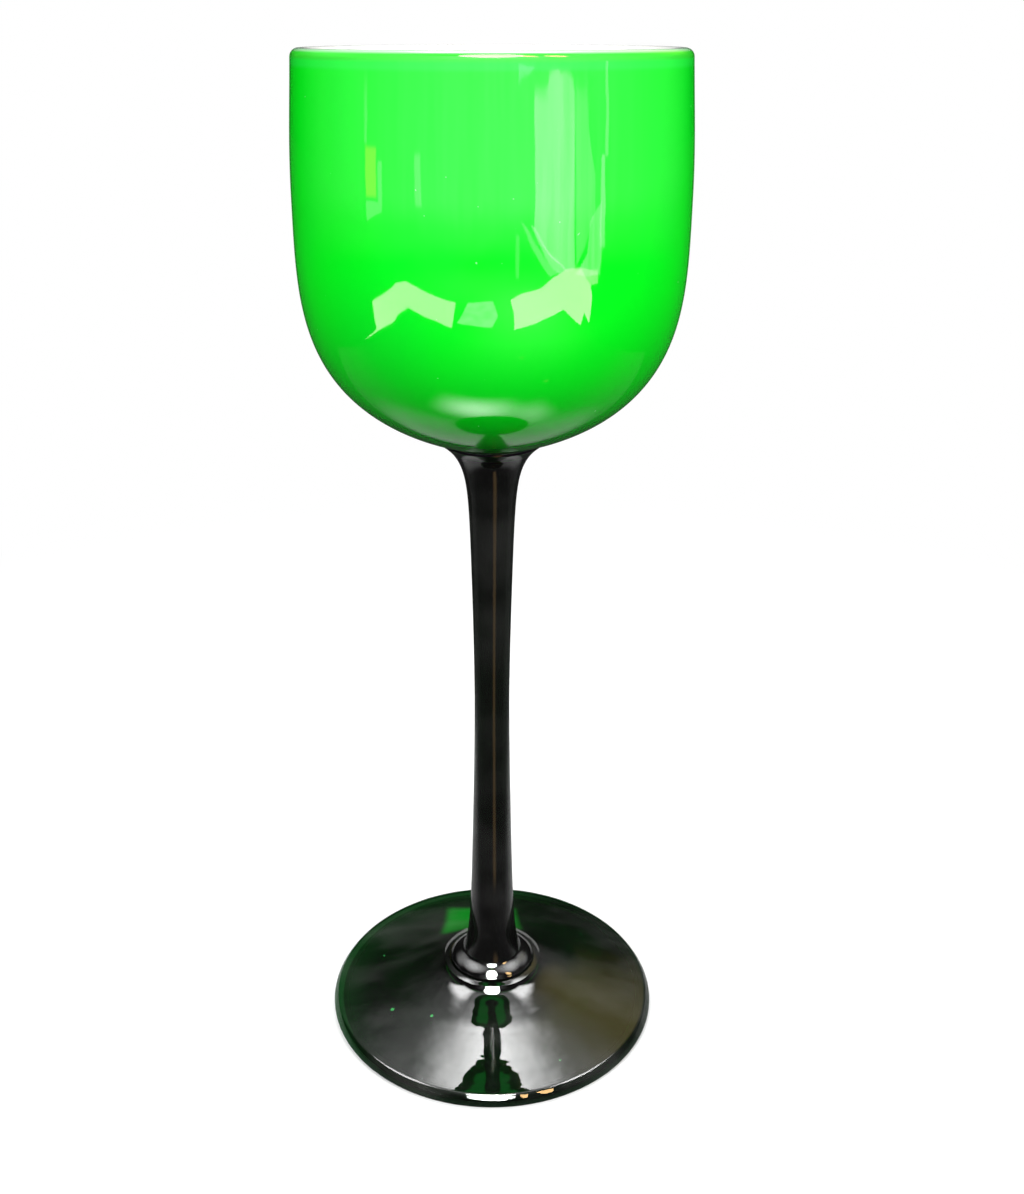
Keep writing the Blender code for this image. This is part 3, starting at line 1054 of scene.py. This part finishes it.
left_cloth = on_floor(
    (-0.534, -0.188), (-0.575, -0.345), (-0.602, -0.428), (-0.568, -0.500), (-0.395, -0.523),
    (-0.274, -0.528), (-0.192, -0.528), (-0.141, -0.345), (-0.220, -0.361), (-0.387, -0.351),
    (-0.379, -0.275), (-0.351, -0.215), (-0.346, -0.140), (-0.320, -0.045), (-0.352, -0.125),
)
sheet("left_cloth", left_cloth, 9.0, PALE_LIGHT)
right_cloth = on_floor(
    (0.102, -0.570), (0.178, -0.606), (0.310, -0.612), (0.455, -0.669), (0.583, -0.677),
    (0.638, -0.622), (0.678, -0.574), (0.595, -0.401), (0.527, -0.336), (0.340, -0.225),
    (0.380, -0.290), (0.304, -0.247), (0.320, -0.381), (0.193, -0.368), (0.079, -0.354),
    (0.097, -0.460),
)
sheet("right_cloth", right_cloth, 10.5, PALE_LIGHT)
cloth_edge = on_floor(
    (0.638, -0.622), (0.700, -0.560), (0.760, -0.440), (0.640, -0.365), (0.595, -0.401),
    (0.678, -0.574),
)
sheet("cloth_edge", cloth_edge, 6.5, PALE_LIGHT, folds=0.3)
middle_cloth = on_floor(
    (-0.131, -0.539), (0.008, -0.565), (0.027, -0.442), (-0.001, -0.373), (-0.134, -0.381)
)
sheet("middle_cloth", middle_cloth, 5.0, folds=0.4)
glow_corners = (-0.15, -0.75), (0.45, -0.75), (0.45, -0.10), (-0.15, -0.10)
sheet("floor_glow", on_floor(*glow_corners, up=0.0006), 0.85, fade=SOFT)
far_corners = (-0.80, -1.05), (0.90, -1.05), (0.90, -0.28), (-0.80, -0.28)
sheet("floor_far", on_floor(*far_corners, up=0.0003), 0.45, fade=SOFT)
warm_spot = on_floor((0.062, -0.228), (0.080, -0.228), (0.080, -0.208), (0.062, -0.208))
sheet("warm_spot", warm_spot, 0.9, WARM_LIGHT, SOFT)
warm_spot_far = on_floor((0.086, -0.120), (0.100, -0.120), (0.100, -0.108), (0.086, -0.108))
sheet("warm_spot_far", warm_spot_far, 1.2, WARM_LIGHT, SOFT)
glare = (-0.085, -0.098), (0.048, -0.098), (0.048, -0.014), (-0.085, -0.014)
sheet("glare", on_floor(*glare, up=0.0014), 6.5, fade=SOFT)
glare_right = (0.010, -0.080), (0.080, -0.080), (0.080, 0.015), (0.010, 0.015)
sheet("glare_right", on_floor(*glare_right, up=0.0018), 2.0, fade=SOFT)
caught_light = on_floor((-0.0122, 0.0144), (0.0072, 0.0144), (0.0066, 0.0276), (-0.0118, 0.0276))
sheet("caught_light", caught_light, 5.0, GREEN_LIGHT, (0.25, 0.30), seen_by=(), through=True)

# By the goblet: the warm line along the stem, and the green that the bowl's underside throws down.
UNDER_BOWL_HEIGHT = 0.131
UNDER_BOWL_RADIUS = 0.0195

stem_line = facing((0.012, -0.05, 0.07), (0.0, 0.0, 0.07), 0.022, 0.14)
sheet("stem_line", stem_line, 0.8, WARM_LIGHT, (0.8, 0.1), seen_by=(stem,))
round_places = arc((0.0, 0.0), UNDER_BOWL_RADIUS, 0.0, math.tau, 32)[:-1]
under_bowl = [(x, y, UNDER_BOWL_HEIGHT) for x, y in round_places]
sheet("under_bowl", under_bowl, 0.9, UNDER_GREEN, seen_by=(foot,), once=True)

# The camera: its lens by the photo's height and focal length in pixels.
PHOTO_HEIGHT = 1194.0
PHOTO_FOCAL_LENGTH = 1304.0
PHOTO_SHIFT = 20.0
SENSOR_HEIGHT = 24.0
CAMERA_PLACE = (0.0, -0.2383, 0.2033)
CAMERA_TILT = 23.66
NEAREST_SEEN = 0.01

lens = bpy.data.cameras.new("camera")
lens.sensor_fit = "VERTICAL"
lens.sensor_height = SENSOR_HEIGHT
lens.lens = SENSOR_HEIGHT * PHOTO_FOCAL_LENGTH / PHOTO_HEIGHT
lens.shift_x = PHOTO_SHIFT / PHOTO_HEIGHT
lens.clip_start = NEAREST_SEEN
camera = bpy.data.objects.new("camera", lens)
camera.location = CAMERA_PLACE
camera.rotation_euler = (math.radians(90.0 - CAMERA_TILT), 0.0, 0.0)
bpy.context.scene.collection.objects.link(camera)
bpy.context.scene.camera = camera
bpy.context.scene.view_settings.view_transform = "Standard"
